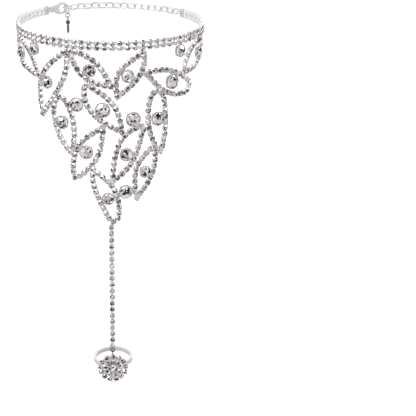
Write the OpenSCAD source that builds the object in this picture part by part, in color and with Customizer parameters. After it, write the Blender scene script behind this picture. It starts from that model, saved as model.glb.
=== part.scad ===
// Barefoot sandal jewellery: a cup chain ankle band with a web of thirteen chain leaves,
// a single strand down the instep and a toe ring that carries a stone flower.
// The origin is the centre of the ankle loop, +Z is up and the front of the foot is towards -Y.
// Places on the ankle loop are angles in degrees from its front, positive towards +X.

/* [Ankle loop] */
// Diameter of the whole loop, through the middle of its chain
loop_d = 86; // [80:1:100]
// Height of one of the two rows of cups in the band
row_h = 2.2; // [1.8:0.1:2.6]
// Thickness of the band, from the cups' backs to the stones
band_t = 2; // [1.6:0.1:2.4]
// Where the band ends on the left, in degrees from the front
band_left = 131; // [125:1:140]
// Where the band ends on the right, in degrees from the front
band_right = 125; // [120:1:138]
// Length of the end plate that closes the two rows
end_plate_l = 3; // [2.4:0.1:3.6]
// Thickness of the end plates
end_plate_t = 0.8; // [0.6:0.1:1]

/* [Web of leaves] */
// Drop of the web, from under the band to the tip of its lowest leaf
web_drop = 81; // [70:1:90]
// Width of the cup chain that the leaves are bent from
chain_w = 2.4; // [2:0.1:2.8]
// Space that soldered or seated pieces are drawn apart
seat_gap = 0.2; // [0.12:0.01:0.3]

/* [Large stones] */
// Width of the largest setting, over its prongs
setting_d = 6.2; // [5.4:0.1:6.6]
// Diameter of one prong
prong_d = 0.6; // [0.5:0.05:0.8]
// Depth of the setting's collar
collar_h = 1.4; // [1:0.1:1.8]
// Height of a large stone over its collar
crown_h = 1.3; // [1:0.1:1.6]

/* [Strand] */
// Length of the strand between its first and its last cup
strand_l = 61.4; // [50:0.1:72]
// Distance from one cup to the next
cup_pitch = 3.2; // [2.9:0.1:3.6]
// Diameter of one cup
cup_d = 2.6; // [2.2:0.1:2.8]
// Depth of one cup
cup_h = 1.2; // [1:0.1:1.5]
// Outside diameter of the ring that joins the strand and the flower
drop_ring_d = 2.4; // [2.2:0.1:2.8]
// Wire of that ring and of the flower's eye
fine_wire = 0.5; // [0.4:0.05:0.55]

/* [Toe ring] */
// Bore of the toe ring
toe_bore = 16.4; // [15:0.1:18]
// Wall of the toe ring
toe_wall = 1.3; // [1:0.1:1.6]
// Height of the toe ring
toe_h = 2.2; // [1.8:0.1:2.8]

/* [Flower] */
// Number of cups in the outer round
petals = 13; // [11:1:14]
// Diameter of the cups in the outer round
petal_d = 2.7; // [2.4:0.05:2.8]
// Number of cups in the inner round
inner_cups = 9; // [8:1:10]
// Diameter of the cups in the inner round
inner_d = 2.2; // [2:0.05:2.3]
// Diameter of the centre cup
centre_d = 4.8; // [4.4:0.1:5.4]
// Thickness of the plate behind the cups
plate_t = 0.8; // [0.6:0.1:1]

/* [Extension chain] */
// Wire of the links
link_wire = 0.65; // [0.55:0.05:0.7]
// Width of a link over its wire
link_w = 3.4; // [2.9:0.1:3.6]
// Distance from one link to the next, before it is fitted to the loop
link_pitch = 3.6; // [3.4:0.1:4]
// Play between two links, and between other pieces that hang in each other
play = 0.15; // [0.12:0.01:0.2]
// Outside diameter of the jump rings at the two ends of the band
jump_d = 3.6; // [3.4:0.1:4]

/* [Clasp] */
// Distance from the middle of the clasp's eye to the middle of its bow
clasp_reach = 8.4; // [8:0.1:9.4]
// Width of the clasp over its hollow
clasp_w = 5.8; // [5.6:0.1:6.4]
// Width of the clasp's bow around the hollow
bow_w = 1; // [0.8:0.05:1.1]
// Thickness of the clasp
clasp_t = 1.1; // [1:0.05:1.2]
// Thickness of the clasp's lever
lever_t = 0.5; // [0.4:0.05:0.55]
// Diameter of the pin that the lever turns on
pin_d = 0.5; // [0.4:0.05:0.6]

/* [Tail drop] */
// Outside diameter of the ring between the tail's link and its bead
tail_ring_d = 3; // [2.3:0.1:3.4]
// Diameter of the tail's bead
bead_d = 2.2; // [2:0.1:3]
// Length of the bar under the bead
bar_l = 3.7; // [3:0.1:5]
// Diameter of the bar
bar_d = 1.2; // [1:0.05:1.5]

/* [Hidden] */
$fn = 48;
silver = [0.82, 0.82, 0.85];
crystal = [0.90, 0.92, 0.97];
radius = loop_d / 2;
mm_per_deg = PI * loop_d / 360;
band_h = 2 * row_h;
web_top = -band_h / 2;
solder = 0.1;

// The thirteen leaves. Columns: name, upper tip, lower tip, widest point of the first side,
// widest point of the other side. A place is [degrees from the front, share of web_drop],
// and it lies on the outside edge of the leaf.
LEAVES = [
    ["leaf_side_left", [-77, 0.008], [-47.2, 0.186], [-73.4, 0.140], [-57.2, 0.042]],
    ["leaf_left", [-26.6, 0.010], [-45.3, 0.400], [-46.7, 0.180], [-27, 0.180]],
    ["leaf_front_left", [-24.8, 0.010], [1.1, 0.200], [-8.3, 0.045], [-16.5, 0.160]],
    ["leaf_front_right", [20.3, 0.006], [3.9, 0.260], [3.9, 0.110], [19.5, 0.142]],
    ["leaf_right", [20.4, 0.130], [56.8, 0.252], [39.9, 0.125], [37.9, 0.281]],
    ["leaf_side_right", [75, 0.008], [48.9, 0.171], [56.8, 0.030], [70.7, 0.138]],
    ["leaf_centre", [-14.8, 0.184], [7.2, 0.462], [-13.2, 0.345], [2.7, 0.285]],
    ["leaf_mid_left", [-31.1, 0.270], [-24.3, 0.592], [-37.1, 0.416], [-21, 0.398]],
    ["leaf_lower_left", [-3.8, 0.420], [-22.5, 0.738], [-21.6, 0.550], [-7.1, 0.620]],
    ["leaf_lower_middle", [20.9, 0.428], [0.5, 0.748], [4.6, 0.500], [14.4, 0.640]],
    ["leaf_lower_right", [26.6, 0.550], [15.6, 0.855], [13.8, 0.670], [28.1, 0.702]],
    ["leaf_mid_right", [28.9, 0.234], [31.5, 0.598], [21.2, 0.400], [36.6, 0.370]],
    ["leaf_bottom", [-10.8, 0.670], [1.8, 1.002], [-10.4, 0.822], [5, 0.820]],
];

// The large stones that sit on a leaf. Columns: name, leaf, side of the leaf, share along
// that side, 1 inside the leaf or -1 outside it, size as a share of setting_d.
LEAF_STONES = [
    ["stone_side_left", 0, 0, 0.36, 1, 0.85],
    ["stone_left", 1, 0, 0.54, 1, 0.85],
    ["stone_front_left", 2, 1, 0.52, 1, 0.85],
    ["stone_front_right", 3, 0, 0.54, 1, 0.85],
    ["stone_right", 4, 0, 0.54, 1, 1],
    ["stone_side_right", 5, 1, 0.34, 1, 0.80],
    ["stone_centre", 6, 0, 0.54, 1, 1],
    ["stone_mid_left", 7, 0, 0.46, 1, 0.90],
    ["stone_between_left", 7, 1, 0.20, -1, 0.95],
    ["stone_lower_left", 8, 0, 0.50, 1, 0.95],
    ["stone_between_right", 9, 0, 0.08, -1, 1],
    ["stone_lower_middle", 9, 1, 0.50, 1, 0.90],
    ["stone_lower_right", 10, 1, 0.50, 1, 0.82],
    ["stone_mid_right", 11, 1, 0.45, 1, 0.95],
    ["stone_bottom", 12, 0, 0.58, 1, 0.85],
    ["stone_between_bottom", 12, 1, 0.55, -1, 0.95],
];

// The stones that hang under the band. Columns: name, degrees from the front, size share.
BAND_STONES = [
    ["stone_band_left", -50.7, 0.85],
    ["stone_band_right", 45.9, 0.85],
];

// A leaf's place in the unrolled web, in mm: along the loop, and up.
function unrolled(place) = [place[0] * mm_per_deg, web_top - place[1] * web_drop];

// A point of the unrolled web on the cylinder that the loop stands on.
function on_loop(flat) =
    let (angle = flat[0] / mm_per_deg)
    [radius * sin(angle), -radius * cos(angle), flat[1]];

function unit(v) = v / norm(v);

// The middle line of a leaf's chain on one of its sides, at a share of the way down.
// The chain lies half its width inside the outline, so neighbours stay clear of each other.
inset = (chain_w + seat_gap) / 2;
function leaf_axis(leaf) = unrolled(leaf[2]) - unrolled(leaf[1]);
function widest_share(leaf, side) =
    (unrolled(leaf[3 + side]) - unrolled(leaf[1])) * leaf_axis(leaf) / (leaf_axis(leaf) * leaf_axis(leaf));
function side_bulge(leaf, side) =
    unrolled(leaf[3 + side]) - unrolled(leaf[1]) - widest_share(leaf, side) * leaf_axis(leaf);
function side_point(leaf, side, share) =
    let (
        along = unit(leaf_axis(leaf)),
        start = unrolled(leaf[1]) + along * inset,
        end = unrolled(leaf[2]) - along * inset,
        bulge = side_bulge(leaf, side),
        skew = ln(0.5) / ln(widest_share(leaf, side))
    )
    start + share * (end - start) + sin(180 * pow(share, skew)) * (norm(bulge) - inset) * unit(bulge);

leaf_rings = 10;
function leaf_loop(leaf) = concat(
    [for (i = [0 : leaf_rings]) side_point(leaf, 0, i / leaf_rings)],
    [for (i = [leaf_rings - 1 : -1 : 1]) side_point(leaf, 1, i / leaf_rings)]
);

// The way from a side of a leaf to its outside, square to the chain.
function side_outward(leaf, side, share) =
    let (
        step = 0.01,
        along = unit(side_point(leaf, side, share + step) - side_point(leaf, side, share - step)),
        square = [-along[1], along[0]]
    )
    square * sign(square * side_bulge(leaf, side));

function stone_place(stone) =
    let (leaf = LEAVES[stone[1]])
    side_point(leaf, stone[2], stone[3])
    - stone[4] * side_outward(leaf, stone[2], stone[3])
    * (chain_w / 2 + seat_gap + stone[5] * setting_d / 2);

// A closed tube with eight sides along points of the unrolled web.
tube_sides = 8;
module chain_tube(flat_points, width) {
    count = len(flat_points);
    places = [for (p = flat_points) on_loop(p)];
    rings = [
        for (i = [0 : count - 1])
            let (
                here = places[i],
                ahead = unit(places[(i + 1) % count] - places[(i + count - 1) % count]),
                outward = unit([here[0], here[1], 0]),
                across = unit(cross(ahead, outward)),
                square = cross(across, ahead)
            )
            for (k = [0 : tube_sides - 1])
                let (turn = 360 * (k + 0.5) / tube_sides)
                here + width / 2 * (cos(turn) * square + sin(turn) * across)
    ];
    faces = [
        for (i = [0 : count - 1])
            for (k = [0 : tube_sides - 1])
                let (
                    a = i * tube_sides + k,
                    b = i * tube_sides + (k + 1) % tube_sides,
                    c = ((i + 1) % count) * tube_sides + (k + 1) % tube_sides,
                    d = ((i + 1) % count) * tube_sides + k
                )
                for (triangle = [[a, c, b], [a, d, c]]) triangle
    ];
    polyhedron(points = rings, faces = faces, convexity = 4);
}

// Puts its children on the loop: X along the loop, -Y outwards, Z up.
module at(angle, height = 0) {
    rotate([0, 0, angle]) translate([0, -radius, height]) children();
}

// Turns a piece that is drawn with Z as its front so that it faces out of the loop.
module facing_out() {
    rotate([90, 0, 0]) children();
}

// A cut stone: a table, a crown and a pavilion, with its girdle at z = 0.
module cut_stone(girdle, crown, pavilion, facets) {
    table_share = 0.58;
    culet_share = 0.08;
    cylinder(h = crown, d1 = girdle, d2 = girdle * table_share, $fn = facets);
    translate([0, 0, -pavilion])
        cylinder(h = pavilion, d1 = girdle * culet_share, d2 = girdle, $fn = facets);
}

// A stone in an open collar with four prongs. The collar's top is at z = 0.
girdle_z = 0.35;
module large_stone(share) {
    width = setting_d * share;
    collar_d = width - prong_d;
    girdle = width - 2 * prong_d - 2 * solder;
    prong_top = 0.75 * crown_h;
    color(silver) {
        translate([0, 0, -collar_h]) difference() {
            cylinder(h = collar_h, d = collar_d);
            translate([0, 0, -1]) cylinder(h = collar_h + 2, d = girdle * 0.9);
        }
        for (turn = [45 : 90 : 315]) {
            rotate([0, 0, turn]) translate([collar_d / 2, 0, -collar_h])
                cylinder(h = collar_h + prong_top, d = prong_d, $fn = 24);
        }
    }
    color(crystal) translate([0, 0, girdle_z])
        cut_stone(girdle, crown_h - girdle_z, collar_h, 12);
}

// One cup: a ring with an open back. Its rim is at z = 0.
cup_wall = 0.2;
module cup(width, depth) {
    translate([0, 0, -depth]) difference() {
        cylinder(h = depth, d = width, $fn = 24);
        translate([0, 0, -1]) cylinder(h = depth + 2, d = width - 2 * cup_wall, $fn = 24);
    }
}

// The stone of a cup, drawn clear of the cup's wall.
small_girdle_z = 0.12;
module cup_stone(width) {
    girdle = width - 2 * solder;
    translate([0, 0, small_girdle_z + solder]) cylinder(
        h = 0.22 * width, d1 = girdle, d2 = 0.56 * girdle, $fn = 8);
    translate([0, 0, solder - 0.18 * width]) cylinder(
        h = 0.18 * width + small_girdle_z, d1 = width * 0.34, d2 = width * 0.72, $fn = 8);
}

// The band: two rows of cups side by side, closed towards the foot.
module band() {
    chamfer = row_h / 5;
    color(silver) rotate([0, 0, -90 - band_left])
        rotate_extrude(angle = band_left + band_right, $fn = 180)
            for (row = [-1, 1]) translate([radius, row * row_h / 2]) polygon([
                [-band_t / 2, -row_h / 2],
                [band_t / 2 - chamfer, -row_h / 2],
                [band_t / 2, -row_h / 2 + chamfer],
                [band_t / 2, row_h / 2 - chamfer],
                [band_t / 2 - chamfer, row_h / 2],
                [-band_t / 2, row_h / 2],
            ]);
}

// The plate that closes the two rows, with a rounded end and a hole for the jump ring.
hole_d = link_wire + 4 * play;
hole_x = end_plate_l - hole_d / 2 - 0.6;
end_round_r = band_h / 2 + 0.4;
module end_plate() {
    color(silver) facing_out() translate([0, 0, -end_plate_t / 2]) difference() {
        intersection() {
            translate([seat_gap, -band_h / 2, 0]) cube([end_plate_l - seat_gap, band_h, end_plate_t]);
            translate([end_plate_l - end_round_r, 0, -1]) cylinder(h = end_plate_t + 2, r = end_round_r);
        }
        translate([hole_x, 0, -1]) cylinder(h = end_plate_t + 2, d = hole_d);
    }
}

module wire_ring(outside, wire) {
    rotate_extrude($fn = 36) translate([(outside - wire) / 2, 0]) circle(d = wire, $fn = 20);
}

// Places along the back of the loop, in mm from the hole of the right end plate.
jump_r = (jump_d - link_wire) / 2;
back_length = (360 - band_left - band_right) * mm_per_deg - 2 * hole_x;
first_wire = 2 * jump_r - link_wire - play;
bow_play = 0.4;
chain_run = back_length - first_wire - link_wire / 2 + bow_w / 2 + bow_play - clasp_reach - 2 * jump_r;
links = round(chain_run / link_pitch);
pitch = chain_run / links;
link_half = (pitch + play + link_wire) / 2;
function back_angle(distance) = band_right + (hole_x + distance) / mm_per_deg;

module jump_ring() {
    translate([hole_x + jump_r, 0, 0]) wire_ring(jump_d, link_wire);
}

// One oval link along X, lying in the XY plane.
module oval_link() {
    bend_r = (link_w - link_wire) / 2;
    straight = link_half - bend_r;
    for (turn = [0, 180]) rotate([0, 0, turn]) {
        translate([straight, 0, 0]) rotate([0, 0, -90])
            rotate_extrude(angle = 180, $fn = 36) translate([bend_r, 0]) circle(d = link_wire, $fn = 20);
        for (start = [-straight, 0]) translate([start, bend_r, 0]) rotate([0, 90, 0])
            cylinder(h = straight, d = link_wire, $fn = 20);
    }
}

// The extension chain. Its links lean to one side and the other in turn, a little more to the
// front than to the back. The last one lies flat in the clasp.
function link_lean(i) =
    i == links - 1 ? 0 : (links - i) % 2 == 1 ? -48 : i == links - 2 ? 65 : 72;
module extension_chain() {
    color(silver) for (i = [0 : links - 1])
        at(back_angle(first_wire + link_half + i * pitch)) rotate([link_lean(i), 0, 0]) oval_link();
}

// The clasp lies in its own XY plane: the eye at the origin, the bow at x = clasp_reach.
bow_r = clasp_w / 2;
hollow_r = bow_r - bow_w;
hollow_x = clasp_reach + bow_w / 2 - bow_r;
eye_d = link_wire + 5 * play;
eye_r = eye_d / 2 + 0.7;
lever_w = 0.7;
boss_d = pin_d + 0.7;
pivot = [hollow_x - 0.82 * bow_r, boss_d / 2 - bow_r + 0.1];
lever_tip = hollow_x + 0.42 * bow_r;
mouth_top = pivot[1] + boss_d / 2 + play;
module clasp_plan() {
    difference() {
        union() {
            circle(r = eye_r);
            polygon([
                [0.4, -0.8 * eye_r],
                [0.4, 0.8 * eye_r],
                [hollow_x - 0.4 * bow_r, 0.88 * bow_r],
                [pivot[0], -bow_r],
                [pivot[0] - 0.9, pivot[1] - 0.2],
            ]);
            translate([hollow_x, 0]) circle(r = bow_r);
        }
        circle(d = eye_d);
        translate([hollow_x, 0]) circle(r = hollow_r);
        translate([pivot[0] + boss_d / 2 + play, -bow_r - 1])
            square([lever_tip - pivot[0] - boss_d / 2 - play, mouth_top + bow_r + 1]);
    }
}

// Puts its children at the clasp's place: it lies along the loop with its eye on the left ring.
clasp_angle = -band_left - (hole_x + 2 * jump_r + clasp_reach / 2) / mm_per_deg;
module at_clasp() {
    at(clasp_angle) mirror([1, 0, 0]) facing_out() translate([-clasp_reach / 2, 0, 0]) children();
}

module clasp_body() {
    slot_t = lever_t + 2 * 0.05;
    color(silver) at_clasp() {
        difference() {
            translate([0, 0, -clasp_t / 2]) linear_extrude(clasp_t) clasp_plan();
            translate([pivot[0] - boss_d / 2 - play, -bow_r - 1, -slot_t / 2])
                cube([2 * boss_d, mouth_top + bow_r + 1, slot_t]);
        }
        translate([pivot[0], pivot[1], -clasp_t / 2]) cylinder(h = clasp_t, d = pin_d);
    }
}

module clasp_lever() {
    pin_play = 0.06;
    color(silver) at_clasp() translate([0, 0, -lever_t / 2]) linear_extrude(lever_t) difference() {
        union() {
            translate(pivot) circle(d = boss_d);
            translate([pivot[0], pivot[1] - lever_w / 2])
                square([lever_tip - pivot[0] - play, lever_w]);
            translate([pivot[0] + 1.3 * boss_d, pivot[1] - 0.7 * lever_w]) circle(d = lever_w, $fn = 24);
        }
        translate(pivot) circle(d = pin_d + 2 * pin_play);
    }
}

// The tail hangs from the outer wire of the last link.
last_link = first_wire + link_half + (links - 1) * pitch;
tail_angle = back_angle(last_link + (link_wire - bow_w) / 2 - bow_play);
tail_out = -(link_w - link_wire) / 2;
tail_link_z = link_wire + play - link_half;
tail_ring_r = (tail_ring_d - fine_wire) / 2;
tail_ring_z = tail_link_z - link_half + link_wire / 2 + play + fine_wire / 2 - tail_ring_r;
pin_eye_r = fine_wire / 2 + fine_wire;
pin_eye_z = tail_ring_z - tail_ring_r + fine_wire + play - pin_eye_r;
bead_z = pin_eye_z - pin_eye_r - fine_wire / 2 - play - bead_d / 2;
bar_z = bead_z - bead_d / 2 - play;

module at_tail(height) {
    at(tail_angle, height) translate([0, tail_out, 0]) children();
}

module tail_link() {
    color(silver) at_tail(tail_link_z) rotate([0, 90, 90]) rotate([90, 0, 0]) oval_link();
}

module tail_ring() {
    color(silver) at_tail(tail_ring_z) rotate([90, 0, 0]) wire_ring(tail_ring_d, fine_wire);
}

module tail_pin() {
    color(silver) {
        at_tail(pin_eye_z) rotate([0, 90, 0]) wire_ring(2 * pin_eye_r + fine_wire, fine_wire);
        at_tail(bar_z) {
            shank = pin_eye_z - pin_eye_r - bar_z;
            translate([0, 0, -0.1]) cylinder(h = shank + 0.1, d = fine_wire, $fn = 24);
            translate([0, 0, -bar_l]) cylinder(h = bar_l, d = bar_d);
            translate([0, 0, -bar_l]) sphere(d = bar_d, $fn = 24);
        }
    }
}

module tail_bead() {
    color(silver) at_tail(bead_z) difference() {
        sphere(d = bead_d);
        translate([0, 0, -bead_d]) cylinder(h = 2 * bead_d, d = fine_wire + 2 * solder, $fn = 24);
    }
}

module leaf_chain(leaf) {
    color(silver) chain_tube(leaf_loop(leaf), chain_w);
}

// A large stone's setting is centred in the thickness of the chain beside it.
module stone_at(flat, share) {
    at(flat[0] / mm_per_deg, flat[1]) facing_out() translate([0, 0, collar_h / 2]) large_stone(share);
}

// The strand hangs from the lowest leaf, and its cups face out of the loop.
first_cup_z = web_top - web_drop - seat_gap - cup_d / 2;
cups = round(strand_l / cup_pitch) + 1;
cup_step = strand_l / (cups - 1);
function cup_z(i) = first_cup_z - i * cup_step;

// A flat connector with a head in each of two cups, through a slot in their walls.
connector_w = 0.35;
connector_t = 0.3;
head_d = 0.7;
head_from_cup = 0.45;
connector_z = -cup_h + 0.2;
module connector() {
    reach = cup_step / 2 - head_from_cup;
    color(silver) translate([0, 0, connector_z]) {
        translate([-connector_w / 2, -reach, 0]) cube([connector_w, 2 * reach, connector_t]);
        for (end = [-1, 1]) translate([0, end * reach, 0])
            cylinder(h = connector_t, d = head_d, $fn = 24);
    }
}

module strand_cups() {
    slot_w = connector_w + 2 * solder;
    slot_t = connector_t + 2 * solder;
    for (i = [0 : cups - 1]) at(0, cup_z(i)) facing_out() translate([0, 0, cup_h / 2]) {
        color(silver) difference() {
            cup(cup_d, cup_h);
            translate([-slot_w / 2, -cup_d, connector_z - solder]) cube([slot_w, 2 * cup_d, slot_t]);
        }
        if (i > 0) translate([0, cup_step / 2, 0]) connector();
    }
}

module strand_stones() {
    color(crystal) for (i = [0 : cups - 1])
        at(0, cup_z(i)) facing_out() translate([0, 0, cup_h / 2]) cup_stone(cup_d);
}

// The ring under the last cup, and the hinge line of the toe ring in its lowest wire.
drop_ring_r = (drop_ring_d - fine_wire) / 2;
drop_ring_z = cup_z(cups - 1) - cup_d / 2 - seat_gap - drop_ring_d / 2;
hinge_z = drop_ring_z - drop_ring_r;
module drop_ring() {
    color(silver) at(0, drop_ring_z) facing_out() wire_ring(drop_ring_d, fine_wire);
}

// The flower hangs from its eye, and its plate is centred under the strand.
flower_eye_r = fine_wire + play;
eye_foot = 0.8 * fine_wire;
inner_round_r = (centre_d + inner_d) / 2 + solder;
petal_round_r = inner_round_r + (inner_d + petal_d) / 2 + solder;
flower_r = petal_round_r + petal_d / 2;
flower_z = hinge_z - flower_eye_r - flower_r;
petal_h = 1.2;
inner_h = 1.5;
centre_h = 1.8;

module at_flower() {
    at(0, flower_z) facing_out() children();
}

module around(count, distance) {
    for (i = [0 : count - 1]) rotate([0, 0, 90 + 360 * i / count]) translate([distance, 0, 0]) children();
}

// Plate, cups and eye are soldered into one piece. The cups are drilled as deep as the plate.
module flower_setting() {
    color(silver) at_flower() {
        difference() {
            union() {
                cylinder(h = plate_t, r = petal_round_r + petal_d / 4);
                around(petals, petal_round_r) cylinder(h = petal_h, d = petal_d, $fn = 24);
                around(inner_cups, inner_round_r) cylinder(h = inner_h, d = inner_d, $fn = 24);
                cylinder(h = centre_h, d = centre_d);
            }
            around(petals, petal_round_r) translate([0, 0, petal_h / 2])
                cylinder(h = petal_h, d = petal_d - 2 * cup_wall, $fn = 24);
            around(inner_cups, inner_round_r) translate([0, 0, inner_h / 2])
                cylinder(h = inner_h, d = inner_d - 2 * cup_wall, $fn = 24);
            translate([0, 0, centre_h / 2]) cylinder(h = centre_h, d = centre_d - 3 * cup_wall);
        }
        translate([0, flower_r + flower_eye_r, 0]) rotate([0, 90, 0])
            wire_ring(2 * flower_eye_r + fine_wire, fine_wire);
        translate([-eye_foot / 2, petal_round_r, -eye_foot / 2])
            cube([eye_foot, flower_r - petal_round_r + 0.15, plate_t]);
    }
}

module flower_stones() {
    color(crystal) at_flower() {
        around(petals, petal_round_r) translate([0, 0, petal_h]) cup_stone(petal_d);
        around(inner_cups, inner_round_r) translate([0, 0, inner_h]) cup_stone(inner_d);
    }
}

module flower_centre_stone() {
    color(crystal) at_flower() translate([0, 0, centre_h]) cup_stone(centre_d);
}

// The toe ring stands behind the flower's plate, at the same height.
toe_r = toe_bore / 2 + toe_wall;
toe_y = -radius + seat_gap + toe_r;
module toe_ring() {
    edge = toe_wall / 5;
    color(silver) translate([0, toe_y, flower_z]) rotate_extrude($fn = 96) polygon([
        [toe_bore / 2, -toe_h / 2],
        [toe_r - edge, -toe_h / 2],
        [toe_r, -toe_h / 2 + edge],
        [toe_r, toe_h / 2 - edge],
        [toe_r - edge, toe_h / 2],
        [toe_bore / 2, toe_h / 2],
    ]);
}

band();
at(-band_left) mirror([1, 0, 0]) end_plate();  // end_plate_left
at(band_right) end_plate();  // end_plate_right
color(silver) at(-band_left) mirror([1, 0, 0]) jump_ring();  // jump_ring_left
color(silver) at(band_right) jump_ring();  // jump_ring_right
clasp_body();
clasp_lever();
extension_chain();
tail_link();
tail_ring();
tail_bead();
tail_pin();
for (leaf = LEAVES)
    leaf_chain(leaf);
for (stone = LEAF_STONES)
    stone_at(stone_place(stone), stone[5]);
for (stone = BAND_STONES)
    stone_at([stone[1] * mm_per_deg, web_top - seat_gap - stone[2] * setting_d / 2], stone[2]);
strand_cups();
strand_stones();
drop_ring();
toe_ring();
flower_setting();
flower_stones();
flower_centre_stone();
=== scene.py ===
from math import atan2, cos, log, pi, radians, sin

import bmesh
import bpy
from mathutils import Matrix, Vector


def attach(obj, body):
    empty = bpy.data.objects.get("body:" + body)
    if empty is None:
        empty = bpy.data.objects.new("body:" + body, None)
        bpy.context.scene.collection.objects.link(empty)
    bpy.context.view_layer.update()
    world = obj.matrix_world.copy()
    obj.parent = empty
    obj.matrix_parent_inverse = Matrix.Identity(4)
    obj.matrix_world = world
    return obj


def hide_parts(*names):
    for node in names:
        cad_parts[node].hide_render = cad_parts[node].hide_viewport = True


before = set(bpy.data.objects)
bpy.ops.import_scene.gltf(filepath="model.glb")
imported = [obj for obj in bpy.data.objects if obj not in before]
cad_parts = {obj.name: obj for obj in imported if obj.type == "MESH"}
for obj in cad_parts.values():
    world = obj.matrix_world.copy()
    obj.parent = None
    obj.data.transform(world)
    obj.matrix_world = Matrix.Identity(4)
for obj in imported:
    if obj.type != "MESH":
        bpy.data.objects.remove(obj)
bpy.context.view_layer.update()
bpy.ops.object.select_all(action="DESELECT")


# One cup of small cup chain. It is stamped from brass and plated with bright rhodium, and its
# four prongs are folded over the stone. A flat link at its back reaches into the next cup.
mm = 0.001
cup_w = 2.6 * mm
cup_over_prongs = 3.0 * mm
cup_h = 1.2 * mm
cup_wall = 0.2 * mm
corner_cut = 0.46 * mm
foot_share, hollow_share, prong_share = 0.8, 0.55, 0.76
prong_rise = 0.4 * mm
leaf_pitch = 2.8 * mm
flat_gap, flat_w, flat_t, flat_depth = 1.5 * mm, 1.5 * mm, 0.3 * mm, 0.6 * mm
flat_edge = 0.08 * mm
# Up to the first of these distances from the middle of the loop, the plating takes a painted tone
# and a duller painted sheen, which stand in for how the light falls on the loop's far side.
inner_face, outer_face = 42.5 * mm, 43.1 * mm


def plated(name, tone, painted_inside_tone=None, painted_inside_sheen=0.45, haze_range=(0.22, 0.44)):
    """Rhodium plate. The loop's inner face can take a painted tone and a duller painted sheen."""
    finish = bpy.data.materials.new(name)
    finish.use_nodes = True
    nodes, links = finish.node_tree.nodes, finish.node_tree.links
    plate = nodes["Principled BSDF"]
    coords = nodes.new("ShaderNodeTexCoord")
    flat = nodes.new("ShaderNodeVectorMath")
    flat.operation = "MULTIPLY"
    flat.inputs[1].default_value = (1, 1, 0)
    links.new(coords.outputs["Object"], flat.inputs[0])
    away = nodes.new("ShaderNodeVectorMath")
    away.operation = "LENGTH"
    links.new(flat.outputs["Vector"], away.inputs[0])
    outward = nodes.new("ShaderNodeMapRange")
    outward.inputs["From Min"].default_value = inner_face
    outward.inputs["From Max"].default_value = outer_face
    links.new(away.outputs["Value"], outward.inputs["Value"])
    plate.inputs["Base Color"].default_value = (*tone, 1)
    if painted_inside_tone:
        both = nodes.new("ShaderNodeMix")
        both.data_type = "RGBA"
        both.inputs[6].default_value = (*painted_inside_tone, 1)
        both.inputs[7].default_value = (*tone, 1)
        links.new(outward.outputs["Result"], both.inputs["Factor"])
        links.new(both.outputs[2], plate.inputs["Base Color"])
    sheen = nodes.new("ShaderNodeMapRange")
    sheen.inputs["To Min"].default_value = painted_inside_sheen
    sheen.inputs["To Max"].default_value = 1.0
    links.new(outward.outputs["Result"], sheen.inputs["Value"])
    links.new(sheen.outputs["Result"], plate.inputs["Metallic"])
    polish = nodes.new("ShaderNodeTexNoise")
    polish.inputs["Scale"].default_value = 900
    polish.inputs["Detail"].default_value = 3
    links.new(coords.outputs["Object"], polish.inputs["Vector"])
    haze = nodes.new("ShaderNodeMapRange")
    haze.inputs["To Min"].default_value = haze_range[0]
    haze.inputs["To Max"].default_value = haze_range[1]
    links.new(polish.outputs["Fac"], haze.inputs["Value"])
    links.new(haze.outputs["Result"], plate.inputs["Roughness"])
    dents = nodes.new("ShaderNodeBump")
    dents.inputs["Strength"].default_value = 0.5
    dents.inputs["Distance"].default_value = 0.08 * mm
    links.new(polish.outputs["Fac"], dents.inputs["Height"])
    links.new(dents.outputs["Normal"], plate.inputs["Normal"])
    return finish


# The second tone is painted on the loop's inner face, here and in the other plates that have one.
silver = plated("stamped_rhodium_plate", (0.95, 0.93, 0.94), (0.92, 0.91, 0.91))


def edit(piece):
    """Opens one piece for shaping, with nothing selected in it."""
    bpy.ops.object.select_all(action="DESELECT")
    bpy.context.view_layer.objects.active = piece
    piece.select_set(True)
    bpy.ops.object.mode_set(mode="EDIT")
    bpy.ops.mesh.select_mode(type="FACE")
    bpy.ops.mesh.select_all(action="DESELECT")


def pick(piece, wanted):
    """Selects the faces whose middle and normal are wanted."""
    bpy.ops.mesh.select_all(action="DESELECT")
    shape = bmesh.from_edit_mesh(piece.data)
    for face in shape.faces:
        if wanted(face.calc_center_median(), face.normal):
            face.select_set(True)
    shape.select_flush_mode()
    bmesh.update_edit_mesh(piece.data)


def done(piece, name, material):
    """Closes a piece, settles its place into its mesh and gives it its finish."""
    if piece.mode == "EDIT":
        bpy.ops.object.mode_set(mode="OBJECT")
    bpy.ops.object.select_all(action="DESELECT")
    piece.select_set(True)
    bpy.context.view_layer.objects.active = piece
    bpy.ops.object.transform_apply(location=True, rotation=True, scale=True)
    piece.name = name
    piece.data.materials.clear()
    piece.data.materials.append(material)
    piece.select_set(False)
    return piece


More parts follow.
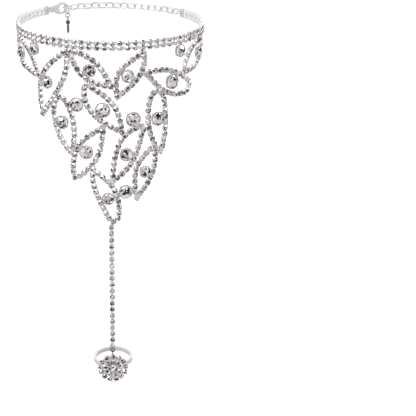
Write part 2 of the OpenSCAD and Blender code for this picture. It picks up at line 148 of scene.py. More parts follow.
bpy.ops.mesh.primitive_cube_add(size=1, location=(0, 0, -cup_h / 2), scale=(cup_w, cup_w, cup_h))
cup = done(bpy.context.object, "cup_model", silver)
edit(cup)
bpy.ops.mesh.select_mode(type="EDGE")
shape = bmesh.from_edit_mesh(cup.data)
for edge in shape.edges:
    edge.select_set(abs(edge.verts[0].co.z - edge.verts[1].co.z) > cup_h / 2)
bmesh.update_edit_mesh(cup.data)
bpy.ops.mesh.bevel(offset=corner_cut, segments=1)
bpy.ops.mesh.select_mode(type="FACE")
pick(cup, lambda middle, normal: normal.z < -0.9)
bpy.ops.transform.resize(value=(foot_share, foot_share, 1), center_override=(0, 0, -cup_h))
pick(cup, lambda middle, normal: normal.z > 0.9)
bpy.ops.mesh.inset(thickness=cup_wall)
bpy.ops.mesh.extrude_region_move(TRANSFORM_OT_translate={"value": (0, 0, -hollow_share * cup_h)})
pick(cup, lambda middle, normal: normal.z > 0.9 and middle.z > -0.01 * mm
     and abs(abs(middle.x) - abs(middle.y)) < 0.1 * mm)
bpy.ops.mesh.extrude_region_move(TRANSFORM_OT_translate={"value": (0, 0, prong_rise)})
bpy.ops.transform.resize(value=(prong_share, prong_share, 1), center_override=(0, 0, 0))
done(cup, "cup_model", silver)
bpy.ops.mesh.primitive_cube_add(size=1, location=(leaf_pitch / 2, 0, -flat_depth),
                                scale=(leaf_pitch - flat_gap, flat_w, flat_t))
link = done(bpy.context.object, "link_model", silver)
edit(link)
bpy.ops.mesh.select_all(action="SELECT")
bpy.ops.mesh.bevel(offset=flat_edge, segments=1)
done(link, "link_model", silver)


# The small stones are cut glass with a foiled back, held by the prongs of their cups. Each is
# ground from a round blank, with a flat table, eight main facets round it and a blunt back.
small_girdle = 1.16 * mm
small_crown = 0.42 * mm
small_blank = 1.0 * mm
painted_facet_grey = (0.55, 0.53, 0.55)


def foiled(name, cells, tones):
    """Cut glass over foil. Each small cell takes a tone, dark to bright, as a painted reflection.
    """
    glass = bpy.data.materials.new(name)
    glass.use_nodes = True
    nodes, links = glass.node_tree.nodes, glass.node_tree.links
    foil = nodes["Principled BSDF"]
    foil.inputs["Metallic"].default_value = 1.0
    foil.inputs["Roughness"].default_value = 0.05
    coords = nodes.new("ShaderNodeTexCoord")
    glint = nodes.new("ShaderNodeTexVoronoi")
    glint.inputs["Scale"].default_value = cells
    links.new(coords.outputs["Object"], glint.inputs["Vector"])
    spread = nodes.new("ShaderNodeSeparateColor")
    links.new(glint.outputs["Color"], spread.inputs["Color"])
    ramp = nodes.new("ShaderNodeValToRGB")
    ramp.color_ramp.interpolation = "CONSTANT"
    ramp.color_ramp.elements.new(0.5)
    for element, (start, tone) in zip(ramp.color_ramp.elements, tones):
        element.position, element.color = start, (*tone, 1)
    links.new(spread.outputs["Red"], ramp.inputs["Fac"])
    links.new(ramp.outputs["Color"], foil.inputs["Base Color"])
    return glass


# Its dark, pale and bright cells are painted reflections of the facets.
crystal = foiled("crystal_painted_sparkle", 1150,
                 ((0, (0.13, 0.125, 0.135)), (0.26, painted_facet_grey), (0.58, (0.86, 0.84, 0.86))))


def grind(count, tilt, reach, height, first_turn=0.0):
    """Grinds a round of flat facets. They lean by tilt and pass at this reach and height."""
    lean = radians(tilt)
    for k in range(count):
        way = radians(first_turn + 360 * k / count)
        bpy.ops.mesh.select_all(action="SELECT")
        bpy.ops.mesh.bisect(
            plane_co=(reach * cos(way), reach * sin(way), height),
            plane_no=(sin(lean) * cos(way), sin(lean) * sin(way), cos(lean)),
            use_fill=True, clear_outer=True, threshold=1e-4 * mm)


bpy.ops.mesh.primitive_cylinder_add(vertices=16, radius=small_girdle, depth=small_blank,
                                    location=(0, 0, small_crown - small_blank / 2))
gem = done(bpy.context.object, "small_stone_model", crystal)
edit(gem)
grind(8, 36, 0.96 * small_girdle, 0.10 * mm)
grind(8, 180 - 55, 0.97 * small_girdle, 0.05 * mm, first_turn=22.5)
done(gem, "small_stone_model", crystal)


# The ankle band is two rows of the plated cup chain, soldered side by side and bent to a loop.
# The cups of the two rows stand in pairs, with gaps between the pairs in which the flat links
# show.
loop_r = 43 * mm
mm_per_deg = pi * loop_r / 180
row_h = 2.2 * mm
# The band's two ends, in degrees round the loop from its front.
band_left, band_right = 131, 125
band_pitch = 3.4 * mm
band_size = 0.9
cup_depth = 0.35 * mm


def ways(angle):
    """The way along the loop and the way out of it, at an angle from its front."""
    way = radians(angle)
    return Vector((cos(way), sin(way), 0)), Vector((sin(way), -cos(way), 0))


def facing_out(angle, height, turn=0.0, size=1.0, depth=0.0):
    """A place on the loop: x along the loop when turn is 0, z out of it, turned about z."""
    along, out = ways(angle)
    place = Matrix((along, Vector((0, 0, 1)), out)).transposed().to_4x4()
    place.translation = out * (loop_r + depth) + Vector((0, 0, height))
    return place @ Matrix.Rotation(turn, 4, "Z") @ Matrix.Scale(size, 4)


def set_in_places(model, places, name, body, slot, *nodes_replaced):
    """Copies a model to each place, each copy with its own mesh, and joins them."""
    bpy.ops.object.select_all(action="DESELECT")
    copies = []
    for place in places:
        copy = model.copy()
        copy.data = model.data.copy()
        copy.matrix_world = place
        bpy.context.collection.objects.link(copy)
        copy.select_set(True)
        copies.append(copy)
    bpy.context.view_layer.objects.active = copies[0]
    if len(copies) > 1:
        bpy.ops.object.join()
    bpy.ops.object.transform_apply(location=True, rotation=True, scale=True)
    piece = bpy.context.object
    piece.name = name
    piece.select_set(False)
    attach(piece, body)
    if nodes_replaced:
        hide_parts(*nodes_replaced)
    return piece


columns = round((band_left + band_right) * mm_per_deg / band_pitch)
step = (band_left + band_right) / columns
pairs = [facing_out(-band_left + step * (k + 0.5), row * row_h / 2, size=band_size,
                    depth=cup_depth)
         for k in range(columns) for row in (-1, 1)]
set_in_places(cup, pairs, "band_cups", "sandal", "silver", "band")
set_in_places(gem, pairs, "band_stones", "sandal", "crystal", "band")
stretched = Matrix.Diagonal((step * mm_per_deg / (band_size * leaf_pitch), 1, 1, 1))
set_in_places(link, [pair @ stretched for pair in pairs[:-2]], "band_links", "sandal", "silver",
              "band")


# The web is thirteen leaves. Each is a length of the same cup chain bent to a closed loop with
# two tips and soldered to its neighbours. Places in it are degrees round the loop and a share
# of the web's drop.
web_top = -row_h
web_drop = 81 * mm
web_size = 1.07
chain_inset, tip_inset = 1.3 * mm, 0.45 * mm
side_points = 60
sway_turn, sway_step, sway_spread = radians(9), 2.3, 0.9 / mm
# The name of each leaf, its upper tip, its lower tip and the widest points of its two sides.
leaves = [
    ("leaf_side_left", (-77, 0.008), (-47.2, 0.186), (-73.4, 0.140), (-57.2, 0.042)),
    ("leaf_left", (-26.6, 0.010), (-45.3, 0.400), (-46.7, 0.180), (-27, 0.180)),
    ("leaf_front_left", (-24.8, 0.010), (1.1, 0.200), (-8.3, 0.045), (-16.5, 0.160)),
    ("leaf_front_right", (20.3, 0.006), (3.9, 0.260), (3.9, 0.110), (19.5, 0.142)),
    ("leaf_right", (20.4, 0.130), (56.8, 0.252), (39.9, 0.125), (37.9, 0.281)),
    ("leaf_side_right", (75, 0.008), (48.9, 0.171), (56.8, 0.030), (70.7, 0.138)),
    ("leaf_centre", (-14.8, 0.184), (7.2, 0.462), (-13.2, 0.345), (2.7, 0.285)),
    ("leaf_mid_left", (-31.1, 0.270), (-24.3, 0.592), (-37.1, 0.416), (-21, 0.398)),
    ("leaf_lower_left", (-3.8, 0.420), (-22.5, 0.738), (-21.6, 0.550), (-7.1, 0.620)),
    ("leaf_lower_middle", (20.9, 0.428), (0.5, 0.748), (4.6, 0.500), (14.4, 0.640)),
    ("leaf_lower_right", (26.6, 0.550), (15.6, 0.855), (13.8, 0.670), (28.1, 0.702)),
    ("leaf_mid_right", (28.9, 0.234), (31.5, 0.598), (21.2, 0.400), (36.6, 0.370)),
    ("leaf_bottom", (-10.8, 0.670), (1.8, 1.002), (-10.4, 0.822), (5, 0.820)),
]
# How round the upper and the lower tip of some leaves are. The others' tips are pointed, at 0.
blunt = {"leaf_right": (0, 0.62), "leaf_bottom": (0, 0.62), "leaf_lower_left": (0, 0.3),
         "leaf_mid_right": (0.55, 0.3), "leaf_mid_left": (0.4, 0.25)}


def unrolled(place):
    """A place in the web as lengths, along the loop and up."""
    return Vector((place[0] * mm_per_deg, web_top - place[1] * web_drop))


def side_point(leaf, side, share):
    """A point on the chain's middle line, and the way out of the leaf at its widest."""
    upper, lower, widest = unrolled(leaf[1]), unrolled(leaf[2]), unrolled(leaf[3 + side])
    axis = lower - upper
    at_widest = (widest - upper).dot(axis) / axis.length_squared
    bulge = widest - upper - at_widest * axis
    start = upper + axis.normalized() * tip_inset
    end = lower - axis.normalized() * (chain_inset if leaf[0] == "leaf_bottom" else tip_inset)
    upper_blunt, lower_blunt = blunt.get(leaf[0], (0, 0))
    swell = sin(pi * share ** (log(0.5) / log(at_widest)))
    swell = swell ** (1 - upper_blunt * (1 - share) - lower_blunt * share)
    out = swell * (bulge.length - chain_inset) * bulge.normalized()
    return start + share * (end - start) + out, bulge


def leaf_line(leaf):
    """The closed middle line of a leaf from its lower tip, up one side and down the other."""
    down = [side_point(leaf, 0, k / side_points)[0] for k in range(side_points)]
    up = [side_point(leaf, 1, k / side_points)[0] for k in range(side_points, 0, -1)]
    return up + down


def along_line(line, pitch):
    """Evenly spaced places along a closed line, with the way that the line runs there."""
    corners = line + [line[0]]
    runs = [(b - a).length for a, b in zip(corners, corners[1:])]
    total = sum(runs)
    count = round(total / pitch)
    places, done_length, piece = [], 0.0, 0
    for k in range(count):
        wanted = total * k / count
        while done_length + runs[piece] < wanted:
            done_length += runs[piece]
            piece += 1
        a, b = corners[piece], corners[piece + 1]
        places.append((a + (b - a) * (wanted - done_length) / runs[piece], (b - a).normalized()))
    return places


# Cup chain never lies quite flat, so each cup leans a little to one side or the other.
for leaf in leaves:
    cups_here, links_here = [], []
    spots = along_line(leaf_line(leaf), leaf_pitch)
    for k, (spot, ahead) in enumerate(spots):
        angle = spot.x / mm_per_deg
        place = facing_out(angle, spot.y, atan2(ahead.y, ahead.x), web_size, cup_depth)
        sway = sway_turn * sin(sway_step * k + sway_spread * spot.x)
        cups_here.append(place @ Matrix.Rotation(sway, 4, "X"))
        reach = spots[(k + 1) % len(spots)][0] - spot
        place = facing_out(angle, spot.y, atan2(reach.y, reach.x), web_size, cup_depth)
        stretched = Matrix.Diagonal((reach.length / (web_size * leaf_pitch), 1, 1, 1))
        links_here.append(place @ stretched)
    set_in_places(cup, cups_here, leaf[0] + "_cups", "sandal", "silver", leaf[0])
    set_in_places(gem, cups_here, leaf[0] + "_stones", "sandal", "crystal", leaf[0])
    set_in_places(link, links_here, leaf[0] + "_links", "sandal", "silver", leaf[0])


# Eighteen large round stones of cut glass are soldered into the web. Each sits in an open plated
# collar with four wire prongs whose ends are bent over its girdle. They differ a little in size.
setting_d = 6.2 * mm
collar_h, collar_rim, collar_foot = 1.4 * mm, 0.5 * mm, 0.86
crown_h = 1.3 * mm
big_girdle = setting_d / 2 - 0.55 * mm
prong_d, prong_over = 0.6 * mm, 0.2 * mm
prong_bends = ((0.10 * mm, 0.30 * mm), (0.28 * mm, 0.24 * mm))
prong_tip = (setting_d / 2 - 0.7 * mm, 0, 0.6 * mm)
setting_size = 1.14
half_chain = 1.4 * mm
solder_gap = 0.2 * mm
next_turn = 19

# The large stones' cells are painted facet reflections too.
clear = foiled("large_crystal_painted_sparkle", 950,
               ((0, (0.05, 0.045, 0.055)), (0.32, painted_facet_grey), (0.58, (0.96, 0.95, 0.96))))
bpy.ops.mesh.primitive_cylinder_add(vertices=32, radius=big_girdle, depth=crown_h + collar_h,
                                    location=(0, 0, (crown_h - collar_h) / 2))
brilliant = done(bpy.context.object, "large_stone_model", clear)
edit(brilliant)
grind(8, 34, 0.97 * big_girdle, 0.45 * mm)
grind(16, 41, 0.99 * big_girdle, 0.42 * mm, first_turn=11.25)
grind(8, 20, 0.66 * big_girdle, 1.16 * mm, first_turn=22.5)
grind(8, 180 - 41, 0.97 * big_girdle, 0.25 * mm, first_turn=22.5)
grind(16, 180 - 48, 0.99 * big_girdle, 0.28 * mm, first_turn=11.25)
done(brilliant, "large_stone_model", clear)

bpy.ops.mesh.primitive_cylinder_add(vertices=24, radius=setting_d / 2,
                                    depth=collar_h, location=(0, 0, -collar_h / 2))
collar = done(bpy.context.object, "collar_model", silver)
edit(collar)
pick(collar, lambda middle, normal: normal.z < -0.9)
bpy.ops.transform.resize(value=(collar_foot, collar_foot, 1), center_override=(0, 0, -collar_h))
pick(collar, lambda middle, normal: abs(normal.z) > 0.9)
bpy.ops.mesh.inset(thickness=collar_rim)
bpy.ops.mesh.bridge_edge_loops()
bpy.ops.mesh.select_all(action="SELECT")
bpy.ops.mesh.normals_make_consistent(inside=False)
done(collar, "collar_model", silver)

prongs = []
for k in range(4):
    bpy.ops.mesh.primitive_cylinder_add(
        vertices=10, radius=prong_d / 2, depth=collar_h + prong_over,
        location=((setting_d - prong_d) / 2, 0, (prong_over - collar_h) / 2))
    prong = done(bpy.context.object, "prong_model", silver)
    edit(prong)
    pick(prong, lambda middle, normal: normal.z > 0.9)
    for bend, rise in prong_bends:
        bpy.ops.mesh.extrude_region_move(TRANSFORM_OT_translate={"value": (-bend, 0, rise)})
    bpy.ops.transform.resize(value=(0.8, 0.8, 0.6), center_override=prong_tip)
    bpy.ops.mesh.bevel(offset=0.10 * mm, segments=2)
    prong.matrix_world = Matrix.Rotation(radians(45 + 90 * k), 4, "Z")
    done(prong, "prong_model", silver)
    prongs.append(prong)
bpy.ops.object.select_all(action="DESELECT")
for prong in prongs:
    prong.select_set(True)
collar.select_set(True)
bpy.context.view_layer.objects.active = collar
bpy.ops.object.join()
# The collars are toned darker than the cups, a painted shade that draws a dark ring round each
# stone.
setting = done(collar, "large_setting_model", plated("collar_plate_painted_shade", (0.62, 0.61, 0.62)))
bpy.context.view_layer.objects.active = setting
setting.select_set(True)
bpy.ops.object.shade_smooth_by_angle(angle=radians(35))

# Name, leaf, side of the leaf, share along that side, 1 inside or -1 outside it, size.
leaf_stones = [
    ("stone_side_left", 0, 0, 0.36, 1, 0.85),
    ("stone_left", 1, 0, 0.54, 1, 0.85),
    ("stone_front_left", 2, 1, 0.52, 1, 0.85),
    ("stone_front_right", 3, 0, 0.54, 1, 0.85),
    ("stone_right", 4, 0, 0.54, 1, 1),
    ("stone_side_right", 5, 1, 0.34, 1, 0.80),
    ("stone_centre", 6, 0, 0.54, 1, 1),
    ("stone_mid_left", 7, 0, 0.46, 1, 0.90),
    ("stone_between_left", 7, 1, 0.20, -1, 0.95),
    ("stone_lower_left", 8, 0, 0.50, 1, 0.95),
    ("stone_between_right", 9, 0, 0.08, -1, 1),
    ("stone_lower_middle", 9, 1, 0.50, 1, 0.90),
    ("stone_lower_right", 10, 1, 0.50, 1, 0.82),
    ("stone_mid_right", 11, 1, 0.45, 1, 0.95),
    ("stone_bottom", 12, 0, 0.58, 1, 0.85),
    ("stone_between_bottom", 12, 1, 0.55, -1, 0.95),
]
stone_spots = []
for name, index, side, share, inwards, size in leaf_stones:
    leaf = leaves[index]
    spot, bulge = side_point(leaf, side, share)
    ahead = side_point(leaf, side, share + 0.01)[0] - side_point(leaf, side, share - 0.01)[0]
    square = Vector((-ahead.y, ahead.x)).normalized()
    if square.dot(bulge) < 0:
        square = -square
    middle = spot - inwards * square * (half_chain + size * setting_d / 2)
    stone_spots.append((name, middle.x / mm_per_deg, middle.y, size))
for name, angle, size in (("stone_band_left", -50.7, 0.85), ("stone_band_right", 45.9, 0.85)):
    stone_spots.append((name, angle, web_top - solder_gap - size * setting_d / 2, size))

# Each stone is turned a little further than the one before, so that no two sparkle alike.
for k, (name, angle, height, size) in enumerate(stone_spots):
    place = facing_out(angle, height, size=setting_size * size, depth=collar_h / 2 + solder_gap)
    set_in_places(setting, [place], name + "_setting", "sandal", "silver", name)
    turned = place @ Matrix.Rotation(radians(next_turn * k), 4, "Z")
    set_in_places(brilliant, [turned], name + "_stone", "sandal", "crystal", name)


# The strand is one straight length of the same plated cup chain. It is soldered to the lowest
# leaf, hangs down the instep and ends in the small ring from which the toe ring swings.
strand_cups = 20
strand_l = 61.4 * mm
strand_size = 1.02
first_cup = web_top - web_drop - solder_gap - cup_w / 2
cup_step = strand_l / (strand_cups - 1)
down = radians(-90)
strand = [facing_out(0, first_cup - k * cup_step, down, strand_size, cup_h / 2)
          for k in range(strand_cups)]
set_in_places(cup, strand, "strand_cups_dressed", "sandal", "silver", "strand_cups")
stretched = Matrix.Diagonal((cup_step / (strand_size * leaf_pitch), 1, 1, 1))
set_in_places(link, [place @ stretched for place in strand[:-1]], "strand_links", "sandal",
              "silver", "strand_cups")
set_in_places(gem, strand, "strand_stones_dressed", "sandal", "crystal", "strand_stones")


# The toe ring is a band of brass, plated like the cups. It is pressed with two rows of small
# hollows, inside and outside, so that it bends to the toe. Its edges are rounded over.
bright = plated("bright_rhodium_plate", (0.64, 0.62, 0.63), (0.84, 0.83, 0.835), 0.6, (0.08, 0.22))
toe_bore, toe_wall, toe_h = 16.4 * mm, 1.3 * mm, 2.2 * mm
toe_r = toe_bore / 2 + toe_wall
hollow_rim, hollow_depth, toe_edge = 0.2 * mm, 0.32 * mm, 0.06 * mm
flower_z = -157.9 * mm
toe_y = -loop_r + solder_gap + toe_r


def round_edges(piece, width, limit=30):
    """Rounds the edges at which two faces turn by more than limit, in degrees."""
    edges = piece.modifiers.new("edges", "BEVEL")
    edges.width, edges.segments, edges.limit_method = width, 2, "ANGLE"
    edges.angle_limit = radians(limit)
    bpy.ops.object.modifier_apply(modifier="edges")


bpy.ops.mesh.primitive_cylinder_add(vertices=44, radius=toe_r, depth=toe_h,
                                    end_fill_type="NOTHING", location=(0, toe_y, flower_z))
ring = done(bpy.context.object, "toe_band", bright)
edit(ring)
bpy.ops.mesh.select_all(action="SELECT")
bpy.ops.mesh.bisect(plane_co=(0, toe_y, flower_z), plane_no=(0, 0, 1))
bpy.ops.object.mode_set(mode="OBJECT")
wall = ring.modifiers.new("wall", "SOLIDIFY")
wall.thickness, wall.offset = toe_wall, -1
bpy.ops.object.modifier_apply(modifier="wall")
edit(ring)
pick(ring, lambda middle, normal: abs(normal.z) < 0.1)
bpy.ops.mesh.inset(thickness=hollow_rim, use_individual=True)
bpy.ops.mesh.extrude_faces_move(TRANSFORM_OT_shrink_fatten={"value": -hollow_depth})
# The floors of the hollows take a darker plate, which is painted shade in them.
ring.data.materials.append(plated("hollow_floor_painted_shade", (0.64, 0.635, 0.64)))
ring.active_material_index = 1
bpy.ops.object.material_slot_assign()
bpy.ops.object.mode_set(mode="OBJECT")
round_edges(ring, toe_edge)
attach(ring, "toe_drop")
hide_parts("toe_ring")


# The flower is a round plate of plated brass with a cup in its middle, a ring of nine small cups
# round that and thirteen larger ones outside. It is soldered to the front of the toe ring.
petals, petal_d, petal_h = 13, 2.7 * mm, 1.2 * mm
inner_cups, inner_d, inner_h = 9, 2.2 * mm, 1.5 * mm
centre_d, centre_h = 4.8 * mm, 1.75 * mm
cup_gap, pushed = 0.1 * mm, 0.1 * mm
plate_t, front_rim = 0.8 * mm, 0.15 * mm
back_steps = ((1.0 * mm, 0.2 * mm), (1.6 * mm, 0.15 * mm))
inner_round = (centre_d + inner_d) / 2 + cup_gap
petal_round = inner_round + (inner_d + petal_d) / 2 + cup_gap
bpy.ops.mesh.primitive_cylinder_add(vertices=52, radius=petal_round + petal_d / 10, depth=plate_t,
                                    location=(0, 0, plate_t / 2))
back = done(bpy.context.object, "flower_plate", plated("flower_back_plate", (0.88, 0.87, 0.88)))


def step_in(steps):
    """Draws the picked face in and moves it up, by the two lengths of each step."""
    for narrowing, rise in steps:
        bpy.ops.mesh.inset(thickness=narrowing)
        bpy.ops.transform.translate(value=(0, 0, rise))


edit(back)
pick(back, lambda middle, normal: normal.z < -0.9)
step_in(back_steps)
pick(back, lambda middle, normal: normal.z > 0.9)
bpy.ops.mesh.inset(thickness=front_rim)
bpy.ops.object.mode_set(mode="OBJECT")
centre = facing_out(0, flower_z)
set_in_places(back, [centre], "flower_back", "toe_drop", "silver", "flower_setting")


def round_of(count, distance, size, height):
    """Places of a round of cups on the flower, the first one at the top."""
    turns = [Matrix.Rotation(radians(90 + 360 * k / count), 4, "Z") for k in range(count)]
    raised = Matrix.Translation((distance, 0, height))
    return [centre @ turn @ raised @ Matrix.Scale(size / cup_over_prongs, 4) for turn in turns]


# The cups are pushed together, so each reaches a little past its place.
cup.data.materials[0] = plated("petal_rhodium_plate", (0.92, 0.90, 0.91), (0.88, 0.86, 0.87), 1.0,
                               (0.05, 0.20))
outer = round_of(petals, petal_round - pushed, petal_d + 2 * pushed, petal_h)
inner = round_of(inner_cups, inner_round, inner_d + 2.5 * pushed, inner_h)
set_in_places(cup, outer + inner, "flower_cups", "toe_drop", "silver", "flower_setting")
# The flower's stones also take painted facet reflections.
gem.data.materials[0] = foiled(
    "flower_crystal_painted_sparkle", 1500,
    ((0, (0.05, 0.045, 0.055)), (0.46, painted_facet_grey), (0.6, (0.96, 0.95, 0.96))))
set_in_places(gem, outer + inner, "flower_small_stones", "toe_drop", "crystal", "flower_stones")
middle_cup = [centre @ Matrix.Translation((0, 0, centre_h))
              @ Matrix.Scale(centre_d / setting_d, 4)]
set_in_places(setting, middle_cup, "flower_centre_setting", "toe_drop", "silver", "flower_setting")
set_in_places(brilliant, middle_cup, "flower_centre_cut_stone", "toe_drop", "crystal",
              "flower_centre_stone")


# Rings and links are round brass wire, bent, closed and plated. The ring under the strand hangs
# in line with it. The flower's own eye stands across it, on a stem soldered to the flower.
wire_haze = (0.12, 0.28)
drawn = plated("drawn_wire_plate", (0.72, 0.715, 0.715), None, 0.4, wire_haze)
# The ring under the strand, the flower's eye and its stem take this near black, a painted shade on
# the same plated wire.
painted_shade_wire = plated("wire_plate_painted_shade", (0.08, 0.078, 0.08), (0.07, 0.068, 0.07), 0.4, wire_haze)
fine_wire = 0.5 * mm
drop_d, eye_d, stem_r = 2.4 * mm, 1.8 * mm, 0.3 * mm
hinge_z = -149.75 * mm


def wire_ring(name, outside, wire, finish, stretch=0.0):
    """A closed ring of wire in the XY plane, drawn out along X into a link by stretch."""
    bpy.ops.mesh.primitive_torus_add(major_radius=(outside - wire) / 2, minor_radius=wire / 2,
                                     major_segments=16, minor_segments=8,
                                     rotation=(0, 0, radians(11.25)))
    piece = done(bpy.context.object, name, finish)
    if stretch:
        edit(piece)
        bpy.ops.mesh.select_mode(type="VERT")
        for side in (-1, 1):
            bpy.ops.mesh.select_all(action="DESELECT")
            shape = bmesh.from_edit_mesh(piece.data)
            for corner in shape.verts:
                corner.select_set(corner.co.x * side > 0)
            bmesh.update_edit_mesh(piece.data)
            bpy.ops.transform.translate(value=(side * stretch, 0, 0))
    done(piece, name, finish)
    bpy.context.view_layer.objects.active = piece
    piece.select_set(True)
    bpy.ops.object.shade_smooth()
    return piece


drop = wire_ring("drop_ring_model", drop_d, fine_wire, painted_shade_wire)
set_in_places(drop, [facing_out(0, hinge_z + (drop_d - fine_wire) / 2)], "strand_end_ring",
              "sandal", "silver", "drop_ring")
eye = wire_ring("eye_model", eye_d, fine_wire, painted_shade_wire)
across = Matrix.Rotation(radians(90), 4, "Y")
set_in_places(eye, [facing_out(0, hinge_z) @ across], "flower_eye", "toe_drop", "silver",
              "flower_setting")
stem_top, stem_foot = hinge_z - (eye_d - fine_wire) / 2, flower_z + petal_round
stem_spot = (0, -loop_r - fine_wire / 2, (stem_top + stem_foot) / 2)
bpy.ops.mesh.primitive_cylinder_add(vertices=12, radius=stem_r, depth=stem_top - stem_foot,
                                    location=stem_spot)
stem = done(bpy.context.object, "flower_eye_stem", painted_shade_wire)
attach(stem, "toe_drop")
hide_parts("flower_setting")


# The extension chain is seventeen oval links of plated wire and hangs from a jump ring in the
# right end plate. It is worn pulled straight, so its links lean to one side and the other in turn.
link_wire, link_w, play = 0.65 * mm, 3.4 * mm, 0.15 * mm
usual_pitch = 3.6 * mm
leans, last_leans = (72, -48), {1: 0, 2: 65}
jump_d, end_plate_l, plate_rim = 3.6 * mm, 3 * mm, 0.6 * mm
clasp_reach, bow_w, bow_play = 8.4 * mm, 1 * mm, 0.4 * mm
hole_x = end_plate_l - (link_wire + 4 * play) / 2 - plate_rim
jump_r = (jump_d - link_wire) / 2
back_length = (360 - band_left - band_right) * mm_per_deg - 2 * hole_x
first_wire = 2 * jump_r - link_wire - play
chain_run = (back_length - first_wire - link_wire / 2 + bow_w / 2 + bow_play
             - clasp_reach - 2 * jump_r)
chain_links = round(chain_run / usual_pitch)
link_pitch = chain_run / chain_links
link_half = (link_pitch + play + link_wire) / 2


def lying(angle, height=0.0, lean=0.0):
    """A place on the loop with x along it and the ring or link flat, leaning by lean."""
    along, out = ways(angle)
    place = Matrix((along, -out, Vector((0, 0, 1)))).transposed().to_4x4()
    place.translation = out * loop_r + Vector((0, 0, height))
    return place @ Matrix.Rotation(radians(lean), 4, "X")


jump = wire_ring("jump_ring_model", jump_d, link_wire, drawn)
for side, angle, reach in (("right", band_right, 1), ("left", -band_left, -1)):
    spot = lying(angle) @ Matrix.Translation((reach * (hole_x + jump_r), 0, 0))
    set_in_places(jump, [spot], "jump_wire_" + side, "sandal", "silver", "jump_ring_" + side)
oval = wire_ring("link_wire_model", link_w, link_wire, drawn, link_half - (link_w - link_wire) / 2)
link_places = []
for k in range(chain_links):
    from_clasp = chain_links - k
    lean = last_leans.get(from_clasp, leans[from_clasp % 2])
    away = hole_x + first_wire + link_half + k * link_pitch
    link_places.append(lying(band_right + away / mm_per_deg, lean=lean))
set_in_places(oval, link_places, "extension_links", "sandal", "silver", "extension_chain")


# The tail hangs from the last link: a link, a small ring, and a headpin that carries a round
# bead and a short bar, both toned dark.
dark = plated("dark_plate", (0.10, 0.10, 0.11), (0.05, 0.05, 0.053))
dark_grey = plated("dark_grey_tone", (0.20, 0.20, 0.21), (0.16, 0.16, 0.165))
tail_ring_d, bead_d, bar_l, bar_d = 3 * mm, 2.2 * mm, 3.7 * mm, 1.2 * mm
bar_steps = ((0.12 * mm, -0.25 * mm), (0.24 * mm, -0.2 * mm))
last_link = first_wire + link_half + (chain_links - 1) * link_pitch
tail_angle = band_right + (hole_x + last_link + (link_wire - bow_w) / 2 - bow_play) / mm_per_deg
tail_link_z = link_wire + play - link_half
tail_ring_r = (tail_ring_d - fine_wire) / 2
tail_ring_z = tail_link_z - link_half + link_wire / 2 + play + fine_wire / 2 - tail_ring_r
eye_r = fine_wire * 1.5
pin_eye_z = tail_ring_z - tail_ring_r + fine_wire + play - eye_r
bead_z = pin_eye_z - eye_r - fine_wire / 2 - play - bead_d / 2
bar_z = bead_z - bead_d / 2 - play


def on_tail(height):
    """A place on the tail's line, x out of the loop and z up."""
    return lying(tail_angle, height) @ Matrix.Translation((0, -(link_w - link_wire) / 2, 0))


upright = Matrix.Rotation(radians(90), 4, "Y")
set_in_places(oval, [on_tail(tail_link_z) @ upright], "tail_oval", "sandal", "silver", "tail_link")
small = wire_ring("tail_ring_model", tail_ring_d, fine_wire, drawn)
set_in_places(small, [on_tail(tail_ring_z) @ Matrix.Rotation(radians(90), 4, "X")],
              "tail_small_ring", "sandal", "silver", "tail_ring")
pin_eye = wire_ring("pin_eye_model", 2 * eye_r + fine_wire, fine_wire, drawn)
set_in_places(pin_eye, [on_tail(pin_eye_z) @ upright], "tail_pin_eye", "sandal", "silver",
              "tail_pin")
bpy.ops.mesh.primitive_cylinder_add(vertices=20, radius=bar_d / 2, depth=bar_l,
                                    location=(0, 0, bar_z - bar_l / 2))
bar = done(bpy.context.object, "bar_model", dark_grey)
edit(bar)
pick(bar, lambda middle, normal: normal.z > 0.9)
bpy.ops.mesh.inset(thickness=(bar_d - fine_wire) / 2)
bpy.ops.mesh.extrude_region_move(
    TRANSFORM_OT_translate={"value": (0, 0, pin_eye_z - eye_r - bar_z)})
pick(bar, lambda middle, normal: normal.z < -0.9)
step_in(bar_steps)
bpy.ops.object.mode_set(mode="OBJECT")
bpy.ops.object.shade_smooth_by_angle(angle=radians(50))
set_in_places(bar, [on_tail(0)], "tail_bar", "sandal", "silver", "tail_pin")
bpy.ops.mesh.primitive_uv_sphere_add(segments=20, ring_count=12, radius=bead_d / 2)
bead = done(bpy.context.object, "bead_model", dark)
edit(bead)
pick(bead, lambda middle, normal: abs(normal.z) > 0.93)
bpy.ops.transform.resize(value=(1, 1, 0.92), center_override=(0, 0, 0))
bpy.ops.object.mode_set(mode="OBJECT")
bpy.ops.object.shade_smooth()
set_in_places(bead, [on_tail(bead_z)], "tail_round_bead", "sandal", "silver", "tail_bead")


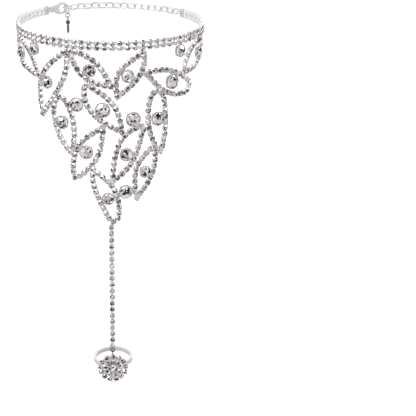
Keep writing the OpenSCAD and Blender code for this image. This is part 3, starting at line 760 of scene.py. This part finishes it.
# The clasp and its lever are cast and the two end plates are stamped, all of plated brass. The
# lever turns on a pin, and the plates are soldered over the band's ends. Each is the frame's own
# solid with its edges rounded.
lever_top, filed_off, cast_edge = -1.85 * mm, 0.08 * mm, 0.10 * mm
for name, body in (("clasp_body", "sandal"), ("clasp_lever", "lever"),
                   ("end_plate_left", "sandal"), ("end_plate_right", "sandal")):
    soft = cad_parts[name].copy()
    soft.data = soft.data.copy()
    bpy.context.collection.objects.link(soft)
    edit(soft)
    bpy.ops.mesh.select_all(action="SELECT")
    bpy.ops.mesh.remove_doubles(threshold=0.002 * mm)
    bpy.ops.mesh.dissolve_limited(angle_limit=radians(3))
    bpy.ops.mesh.select_all(action="DESELECT")
    bpy.ops.object.mode_set(mode="OBJECT")
    if name == "clasp_lever":
        # Its upper edge is filed down, which leaves it room to turn under the body.
        for corner in soft.data.vertices:
            corner.select = abs(corner.co.z - lever_top) < 0.01 * mm
        bpy.ops.object.mode_set(mode="EDIT")
        bpy.ops.transform.translate(value=(0, 0, -filed_off))
        bpy.ops.object.mode_set(mode="OBJECT")
    round_edges(soft, cast_edge, 50)
    bpy.ops.object.shade_smooth_by_angle(angle=radians(40))
    done(soft, name + "_cast", drawn)
    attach(soft, body)
    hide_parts(name)


# The models that the pieces were copied from are no part of the sandal. They are taken away now
# that every copy stands in its place.
for model in (cup, link, gem, brilliant, setting, back, drop, eye, jump, oval, small, pin_eye, bar,
              bead):
    bpy.data.objects.remove(model)


# The floor is one plain sheet of pale coated board, laid just under the lowest point. The camera
# sees it even and pale. The plating sees it in patches, as if cards and flags lay round the set.
floor_w, floor_z = 8, -166.8 * mm
bpy.ops.mesh.primitive_plane_add(size=floor_w, location=(0, 0, floor_z))
floor = bpy.context.object
floor.name = "floor"
white = bpy.data.materials.new("pale_floor")
white.use_nodes = True
nodes, links = white.node_tree.nodes, white.node_tree.links
seen = nodes["Principled BSDF"]
seen.inputs["Base Color"].default_value = (0.95, 0.95, 0.955, 1)
seen.inputs["Roughness"].default_value = 0.30
unseen = nodes.new("ShaderNodeBsdfDiffuse")
patches = nodes.new("ShaderNodeTexNoise")
patches.inputs["Scale"].default_value = 220
spot_on_floor = nodes.new("ShaderNodeTexCoord")
links.new(spot_on_floor.outputs["Object"], patches.inputs["Vector"])
flags = nodes.new("ShaderNodeValToRGB")
dark_patch, pale_patch = flags.color_ramp.elements
dark_patch.position, dark_patch.color = 0.44, (0.26, 0.26, 0.26, 1)
pale_patch.position, pale_patch.color = 0.60, (0.72, 0.70, 0.71, 1)
links.new(patches.outputs["Fac"], flags.inputs["Fac"])
links.new(flags.outputs["Color"], unseen.inputs["Color"])
rays = nodes.new("ShaderNodeLightPath")
either = nodes.new("ShaderNodeMixShader")
links.new(rays.outputs["Is Camera Ray"], either.inputs["Fac"])
links.new(unseen.outputs["BSDF"], either.inputs[1])
links.new(seen.outputs["BSDF"], either.inputs[2])
links.new(either.outputs["Shader"], nodes["Material Output"].inputs["Surface"])
floor.data.materials.append(white)


# Soft studio light: an even white tent that lights the floor, and inside it pale panels and
# dark flags, so that the plating and the cut stones have something to reflect.
world = bpy.data.worlds.new("studio")
bpy.context.scene.world = world
world.use_nodes = True
nodes, links = world.node_tree.nodes, world.node_tree.links
nodes.clear()
out = nodes.new("ShaderNodeOutputWorld")
tent = nodes.new("ShaderNodeBackground")
tent.inputs["Color"].default_value = (1, 1, 1, 1)
tent.inputs["Strength"].default_value = 1.15
panels = nodes.new("ShaderNodeBackground")
rays = nodes.new("ShaderNodeLightPath")
sky = nodes.new("ShaderNodeTexCoord")
patches = nodes.new("ShaderNodeTexNoise")
patches.inputs["Scale"].default_value = 2.4
patches.inputs["Detail"].default_value = 1.0
ramp = nodes.new("ShaderNodeValToRGB")
links.new(sky.outputs["Generated"], patches.inputs["Vector"])
links.new(patches.outputs["Fac"], ramp.inputs["Fac"])
tones = [(0.38, 0.34), (0.45, 0.60), (0.53, 0.80), (0.64, 0.95)]
while len(ramp.color_ramp.elements) < len(tones):
    ramp.color_ramp.elements.new(0.5)
for element, (position, level) in zip(ramp.color_ramp.elements, tones):
    element.position = position
    element.color = (level, level * 0.97, level * 0.99, 1)
links.new(ramp.outputs["Color"], panels.inputs["Color"])
direct = nodes.new("ShaderNodeMath")
direct.operation = "MAXIMUM"
links.new(rays.outputs["Is Camera Ray"], direct.inputs[0])
links.new(rays.outputs["Is Diffuse Ray"], direct.inputs[1])
mix = nodes.new("ShaderNodeMixShader")
links.new(direct.outputs["Value"], mix.inputs["Fac"])
links.new(panels.outputs["Background"], mix.inputs[1])
links.new(tent.outputs["Background"], mix.inputs[2])
links.new(mix.outputs["Shader"], out.inputs["Surface"])

lit_point = Vector((0, 0, -0.06))
for spot, size, power in (((-0.7, -0.6, 0.9), 0.8, 7), ((0.8, 0.3, 0.8), 0.7, 5)):
    bpy.ops.object.light_add(type="AREA", location=spot)
    lamp = bpy.context.object
    lamp.data.size = size
    lamp.data.energy = power
    lamp.rotation_euler = (lit_point - Vector(spot)).to_track_quat("-Z", "Y").to_euler()


# The camera stands half a metre in front of the foot and looks down at it, turned and rolled a
# little. Its lens is long, with a focal length of 2.75 times the width of the picture.
turned_by, looking_down, rolled = -4.26, 21.58, 1.3
picture_w, focal_length = 416, 1143
bpy.ops.object.camera_add(location=(0.008, -0.530, 0.1175))
camera = bpy.context.object
aim = (Matrix.Rotation(radians(turned_by), 3, "Z")
       @ Matrix.Rotation(radians(90 - looking_down), 3, "X")
       @ Matrix.Rotation(radians(rolled), 3, "Z"))
camera.rotation_euler = aim.to_euler()
camera.data.sensor_width = 36
camera.data.lens = camera.data.sensor_width * focal_length / picture_w
bpy.context.scene.camera = camera
bpy.context.scene.view_settings.view_transform = "Standard"
